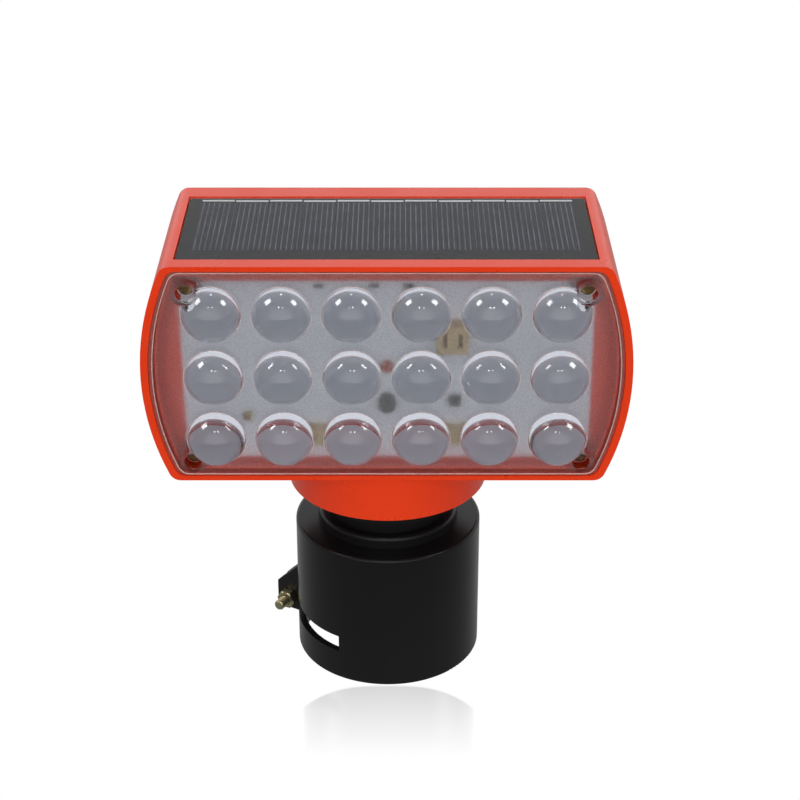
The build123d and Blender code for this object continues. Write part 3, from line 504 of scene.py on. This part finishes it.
def make_lens(materials):
    """One-piece clear lens: plate, domes and screw tubes, frosted on the flat between the domes."""
    places = lens_screw_places()
    lens = new_piece("lens_moulding", plate_mesh(), "head", materials, ("lens",))
    domes = [helper("dome", dome_mesh(x, z)) for x, z in dome_centres()]
    reach = DOME_R + LAND_R + DOME_FOOT
    corners = [dome for dome in domes if distance_to(dome.data.vertices[0].co, places) < reach]
    for dome in corners:
        bpy.context.scene.collection.objects.link(dome)
        lands = [helper("land", rod_y(LAND_R, x, z, PLATE_FRONT - 2 * DOME_HEIGHT, PLATE_FRONT - 0.01 * MM))
                 for x, z in places]
        combine(dome, lands, "DIFFERENCE")
        bpy.context.scene.collection.objects.unlink(dome)
    tubes = [helper("tube", rod_y(TUBE_R, x, z, PLATE_BACK - 0.5 * MM, TUBE_BACK)) for x, z in places]
    combine(lens, domes + tubes, "UNION")
    holes = [helper("hole", rod_y(TUBE_HOLE_R, x, z, PLATE_FRONT - DOME_HEIGHT, TUBE_SEAT))
             for x, z in places]
    holes += [helper("bore", rod_y(SCREW_R + 0.2 * MM, x, z, TUBE_SEAT - 1 * MM, TUBE_BACK + 1 * MM))
              for x, z in places]
    combine(lens, holes, "DIFFERENCE")
    lens.data.shade_smooth()
    lens.data.set_sharp_from_angle(angle=math.radians(28))
    for face in lens.data.polygons:
        near = distance_to(face.center, places)
        if face.center.y < PLATE_FRONT - CREST_RISE - 0.02 * MM:
            face.material_index = 2
        elif abs(face.center.y - PLATE_FRONT) < 0.015 * MM and near > LAND_R:
            face.material_index = 1
        elif near > LAND_R and on_crest(face):
            face.material_index = 3
        elif near > LAND_R and on_edge(face):
            face.material_index = 4
        else:
            face.material_index = 0


def cross_recess(place, direction, size, depth):
    """Two tapered slots that make a cross recess."""
    bm = bmesh.new()
    side = direction.orthogonal().normalized()
    other = direction.cross(side)
    for first, second in ((side, other), (other, side)):
        corners = []
        for level, scale in ((-0.2 * depth, 1.1), (depth, 0.55)):
            for a, b in ((-1, -1), (1, -1), (1, 1), (-1, 1)):
                corners.append(bm.verts.new(place + direction * level + first * a * size * scale
                                            + second * b * size * 0.22 * scale))
        for indices in ((0, 1, 2, 3), (4, 5, 6, 7), (0, 1, 5, 4), (1, 2, 6, 5), (2, 3, 7, 6), (3, 0, 4, 7)):
            bm.faces.new([corners[index] for index in indices])
    return bm


def make_lens_screws(material):
    """Pan-head screws with cross recesses, down in the lens tubes."""
    for index, (x, z) in enumerate(lens_screw_places()):
        top = Vector((x, TUBE_SEAT - SCREW_HEAD_H, z))
        inward = Vector((0, 1, 0))
        profile = [(0, 0)]
        for step in range(7):
            angle = math.radians(20 + 70 * step / 6)
            profile.append((SCREW_HEAD_H * 0.75 * (1 - math.sin(math.radians(90) - angle + math.radians(20))),
                            SCREW_HEAD_R * math.sin(angle)))
        profile += [(SCREW_HEAD_H, SCREW_HEAD_R), (SCREW_HEAD_H, SCREW_R),
                    (SCREW_HEAD_H + SCREW_LENGTH - 1 * MM, SCREW_R), (SCREW_HEAD_H + SCREW_LENGTH, 0)]
        bm = lathe(profile, 48, top, RIGHT, inward)
        screw = new_piece(f"lens_screw_{index}", bm, "head", material, ("lens_screws",))
        recess = helper("recess", cross_recess(top, inward, 1.5 * MM, 1.3 * MM))
        combine(screw, [recess], "DIFFERENCE")
        screw.data.shade_smooth()
        screw.data.set_sharp_from_angle(angle=math.radians(35))


def clamp_axes():
    """Origin on the clamp bolt's axis in the split's plane, with its outward and along directions."""
    turn = math.radians(EAR_AZIMUTH)
    outward = Vector((math.cos(turn), math.sin(turn), 0))
    along = Vector((-math.sin(turn), math.cos(turn), 0))
    return outward * CLAMP_AXIS_R + UP * CLAMP_AXIS_Z, outward, along


def hex_rings(place, side, axis, width, height, bore, chamfer_low, chamfer_high):
    """Hexagon with turned chamfers and a bore, or solid if the bore is zero."""
    bm = bmesh.new()
    other = axis.cross(side)
    count = 96
    heights = sorted({0.0, 0.12, 0.25, 0.4, 0.6, 0.75, 0.88, 1.0})
    rings = []
    for share in heights:
        level = share * height
        limit = width / 2 * 1.155
        if chamfer_low:
            limit = min(limit, width / 2 * 0.96 + level * 1.7)
        if chamfer_high:
            limit = min(limit, width / 2 * 0.96 + (height - level) * 1.7)
        ring = []
        for step in range(count):
            turn = 2 * math.pi * step / count
            flat = (turn + math.pi / 6) % (math.pi / 3) - math.pi / 6
            radius = min(width / 2 / math.cos(flat), limit)
            away = side * math.cos(turn) + other * math.sin(turn)
            ring.append(bm.verts.new(place + axis * level + away * radius))
        rings.append(ring)
    if bore:
        turns = [2 * math.pi * step / count for step in range(count)]
        spokes = [(side * math.cos(turn) + other * math.sin(turn)) * bore for turn in turns]
        for level in (height, 0.0):
            rings.append([bm.verts.new(place + axis * level + spoke) for spoke in spokes])
        rings.append(rings[0])
    else:
        bm.faces.new(rings[0])
        bm.faces.new(rings[-1])
    for first, second in zip(rings, rings[1:]):
        for step in range(count):
            following = (step + 1) % count
            bm.faces.new((first[step], first[following], second[following], second[step]))
    return bm


def threaded_rod(bm, place, side, axis, radius, length, pitch, start):
    """Adds a rod whose surface carries a helical thread from start to its end."""
    other = axis.cross(side)
    count, rows = 40, int(length / pitch * 8)
    rings = []
    for row in range(rows + 1):
        level = length * row / rows
        ring = []
        for step in range(count):
            turn = 2 * math.pi * step / count
            phase = (level / pitch - step / count) % 1.0
            ridge = abs(2 * phase - 1)
            depth = 0.3 * pitch if level > start else 0.0
            taper = max(0.0, level - (length - 0.5 * MM)) * 0.8
            local = radius - depth * (1 - ridge) - taper
            away = side * math.cos(turn) + other * math.sin(turn)
            ring.append(bm.verts.new(place + axis * level + away * local))
        rings.append(ring)
    for first, second in zip(rings, rings[1:]):
        for step in range(count):
            following = (step + 1) % count
            bm.faces.new((first[step], first[following], second[following], second[step]))
    bm.faces.new(rings[0])
    bm.faces.new(rings[-1])


def make_clamp_hardware(material):
    """Threaded bolt with a chamfered head, and the nut on the front ear."""
    middle, _, along = clamp_axes()
    seat = middle - along * (EAR_FACE + CLAMP_WASHER)
    bm = hex_rings(seat - along * CLAMP_HEAD, UP, along, CLAMP_AF, CLAMP_HEAD, 0.0, True, False)
    threaded_rod(bm, seat, UP, along, CLAMP_BOLT_R, CLAMP_BOLT_LENGTH, CLAMP_PITCH, 6 * MM)
    new_piece("clamp_bolt_detail", bm, "base", material, ("clamp_bolt",), 25.0)
    nut_bore = CLAMP_BOLT_R + 0.1 * MM
    nut = hex_rings(middle + along * EAR_FACE, UP, along, CLAMP_AF, CLAMP_NUT, nut_bore, True, True)
    new_piece("clamp_nut_detail", nut, "nut", material, ("clamp_nut",), 25.0)


# ---------------------------------------------------------------- camera, stage and light
def set_camera():
    """Camera in front of the light, looking down on it."""
    data = bpy.data.cameras.new("camera")
    data.lens = CAMERA_LENS
    data.sensor_width = 36.0
    data.clip_start = 0.01
    camera = bpy.data.objects.new("camera", data)
    bpy.context.scene.collection.objects.link(camera)
    camera.location = CAMERA_PLACE
    camera.rotation_euler = (math.radians(90 - CAMERA_PITCH), 0, 0)
    bpy.context.scene.camera = camera


def make_floor():
    """White sweep that shines evenly and mirrors the socket a little, just in front of it."""
    bm = bmesh.new()
    bmesh.ops.create_grid(bm, x_segments=1, y_segments=1, size=FLOOR_HALF)
    mesh = bpy.data.meshes.new("floor")
    bm.to_mesh(mesh)
    bm.free()
    floor = bpy.data.objects.new("floor", mesh)
    bpy.context.scene.collection.objects.link(floor)
    mat, tree, shader = new_material("white_sweep", Base_Color=(0.0, 0.0, 0.0, 1.0), IOR=3.4)
    tree.links.new(remap(tree, noise(tree, 6.0), 0.3, 0.7, 0.1, 0.14), shader.inputs["Roughness"])
    shader.inputs["Emission Color"].default_value = (1.0, 1.0, 1.0, 1.0)
    x, y, _ = parts_of(tree, object_coords(tree))
    shine = remap(tree, y, -0.35, 0.1, FLOOR_FRONT_GLOW, FLOOR_BACK_GLOW)
    sideways = math_node(tree, "ABSOLUTE", math_node(tree, "DIVIDE", x, MIRROR_HALF))
    across = math_node(tree, "POWER", sideways, MIRROR_POWER)
    ahead = math_node(tree, "ADD", y, math_node(tree, "MULTIPLY", across, MIRROR_ARC))
    begins = remap(tree, ahead, MIRROR_NEAR - MIRROR_EDGE, MIRROR_NEAR, 1.0, 0.0)
    mirror = math_node(tree, "MULTIPLY", begins, remap(tree, y, MIRROR_FAR, MIRROR_NEAR, 0.0, 1.0))
    path = tree.nodes.new("ShaderNodeLightPath").outputs
    gloss = math_node(tree, "MULTIPLY", mirror, path["Is Camera Ray"])
    tree.links.new(gloss, shader.inputs["Specular IOR Level"])
    through = remap(tree, path["Is Transmission Ray"], 0.0, 1.0, shine, FLOOR_THROUGH_LENS)
    plain = remap(tree, mirror, 0.0, 1.0, 1.0, FLOOR_SEEN)
    glow = remap(tree, path["Is Camera Ray"], 0.0, 1.0, through, plain)
    tree.links.new(glow, shader.inputs["Emission Strength"])
    mesh.materials.append(mat)


def area_light(name, place, target, width, height, radiance, lights_matt=True):
    """Softbox of a given radiance, so its size sets its power. It may show in gloss alone."""
    data = bpy.data.lights.new(name, "AREA")
    data.shape = "RECTANGLE"
    data.size = width
    data.size_y = height
    data.energy = radiance * math.pi * width * height
    lamp = bpy.data.objects.new(name, data)
    bpy.context.scene.collection.objects.link(lamp)
    lamp.location = place
    lamp.visible_diffuse = lights_matt
    lamp.rotation_euler = (Vector(target) - Vector(place)).to_track_quat("-Z", "Y").to_euler()


def light_studio():
    """Softboxes left and right, lamps that show in gloss alone, small lamps, and a world bright low down."""
    for name, side in (("softbox_left", -1), ("softbox_right", 1)):
        for suffix, (x, y, z), width, height, radiance, lights_matt in SIDE_LIGHTS:
            area_light(name + suffix, (side * x, y, z), LIGHT_TARGET, width, height, radiance, lights_matt)
    area_light("overhead", (0, 0.18, 1.6), LIGHT_TARGET, 0.16, 0.12, 16.0)
    world = bpy.data.worlds.new("studio")
    bpy.context.scene.world = world
    world.use_nodes = True
    tree = world.node_tree
    background = tree.nodes["Background"]
    _, y, z = parts_of(tree, tree.nodes.new("ShaderNodeTexCoord").outputs["Generated"])
    front = remap(tree, y, -0.9, -0.55, LOW_FRONT, LOW_SIDE)
    diffuse = tree.nodes.new("ShaderNodeLightPath").outputs["Is Diffuse Ray"]
    front = math_node(tree, "MULTIPLY", front, remap(tree, diffuse, 0.0, 1.0, 1.0, FRONT_FILL))
    low_down = remap(tree, y, 0.0, 0.5, front, remap(tree, diffuse, 0.0, 1.0, LOW_BACK, BACK_FILL))
    horizon = remap(tree, diffuse, 0.0, 1.0, BAND_SEEN, BAND_FILL)
    rise = math_node(tree, "SUBTRACT", z, horizon)
    tree.links.new(remap(tree, rise, -BAND_SOFT, BAND_SOFT, low_down, HIGH_UP), background.inputs["Strength"])
    seen = add(tree, "ShaderNodeBackground", Strength=1.0)
    for shader in (background, seen):
        shader.inputs["Color"].default_value = (1, 1, 1, 1)
    mix = add(tree, "ShaderNodeMixShader", Fac=tree.nodes.new("ShaderNodeLightPath").outputs["Is Camera Ray"])
    tree.links.new(background.outputs[0], mix.inputs[1])
    tree.links.new(seen.outputs[0], mix.inputs[2])
    tree.links.new(mix.outputs[0], tree.nodes["World Output"].inputs["Surface"])


# ---------------------------------------------------------------- assembly of the scene
def dress_nodes():
    """Gives every CAD node that stays its material."""
    orange = moulded("orange_abs", (0.82, 0.045, 0.005), (0.79, 0.04, 0.004), 0.3, 0.5 * MM, 0.0015 * MM,
                     Specular_IOR_Level=0.42)
    black = moulded("black_nylon", (0.0075, 0.007, 0.0075), (0.009, 0.0085, 0.009), 0.22, 0.4 * MM,
                    0.002 * MM, Specular_IOR_Level=0.2)
    steel = metal("stainless_steel", (0.6, 0.6, 0.61), (0.45, 0.45, 0.46), 0.3)
    zinc = metal("bright_zinc", (0.68, 0.69, 0.7), (0.5, 0.52, 0.54), 0.25)
    nickel = metal("nickel", (0.72, 0.7, 0.66), (0.6, 0.57, 0.52), 0.22)
    finishes = {
        "orange_plastic": orange,
        "black_plastic": black,
        "clear_resin": see_through_resin(),
        "silicone": speckled("silicone", (0.5, 0.06, 0.03), (0.42, 0.05, 0.03), 0.5, 600.0),
        "black_rubber": speckled("black_rubber", (0.02, 0.02, 0.02), (0.03, 0.03, 0.03), 0.7, 1500.0,
                                 0.02 * MM),
        "nylon": speckled("natural_nylon", (0.7, 0.68, 0.62), (0.62, 0.6, 0.53), 0.45, 500.0),
        "yellow_zinc": metal("yellow_zinc", (0.42, 0.34, 0.16), (0.3, 0.33, 0.24), 0.35),
        "bright_zinc": zinc,
        "bronze_screw": metal("bronzed_steel", (0.3, 0.22, 0.1), (0.16, 0.11, 0.05), 0.35),
        "stainless": steel,
        "white_board": solder_mask(),
        "led_white": speckled("lamp_body", (0.82, 0.82, 0.8), (0.75, 0.75, 0.72), 0.5, 1800.0),
        "led_resin": speckled("lamp_resin", (0.75, 0.5, 0.12), (0.65, 0.42, 0.1), 0.25, 1500.0),
        "beige_nylon": speckled("beige_nylon", (0.6, 0.45, 0.26), (0.52, 0.39, 0.22), 0.5, 500.0),
        "black_epoxy": speckled("black_epoxy", (0.02, 0.02, 0.022), (0.035, 0.035, 0.035), 0.5, 2500.0),
        "dark_can": speckled("capacitor_sleeve", (0.02, 0.02, 0.025), (0.03, 0.03, 0.035), 0.3, 900.0),
        "sensor_face": speckled("sensor_face", (0.4, 0.07, 0.04), (0.3, 0.05, 0.03), 0.35, 2500.0),
        "panel_board": speckled("panel_board", (0.006, 0.006, 0.009), (0.012, 0.012, 0.016), 0.6, 800.0,
                                Specular_IOR_Level=0.1),
        "solar_cell": solar_silicon(),
        "tinned_ribbon": speckled("tinned_ribbon", (0.9, 0.9, 0.88), (0.8, 0.8, 0.78), 0.6, 900.0),
        "sealant": speckled("sealant", (0.012, 0.012, 0.012), (0.02, 0.02, 0.02), 0.6, 700.0, 0.1 * MM),
        "cell_wrap": speckled("cell_wrap", (0.02, 0.09, 0.3), (0.02, 0.07, 0.24), 0.25, 200.0),
        "black_matte": moulded("holder_plastic", (0.02, 0.02, 0.02), (0.03, 0.03, 0.03), 0.5, 0.3 * MM,
                               0.01 * MM),
        "foam_tape": speckled("foam_tape", (0.75, 0.75, 0.72), (0.65, 0.65, 0.62), 0.9, 1200.0, 0.1 * MM),
        "nickel": nickel,
        "red_wire": speckled("red_insulation", (0.5, 0.01, 0.01), (0.42, 0.01, 0.01), 0.4, 500.0),
        "black_wire": speckled("black_insulation", (0.015, 0.015, 0.015), (0.025, 0.025, 0.025), 0.4, 500.0),
    }
    for part in frame["record"]["subparts"]:
        finish = finishes.get(part["material_slot"])
        if finish is None:
            continue
        data = nodes[part["node"]].data
        for index in range(len(data.materials)):
            data.materials[index] = finish
    return finishes


set_camera()
make_floor()
light_studio()
finishes = dress_nodes()
make_lens(lens_materials())
make_lens_screws(finishes["bronze_screw"])
make_clamp_hardware(finishes["yellow_zinc"])

bpy.context.scene.view_settings.view_transform = "Standard"
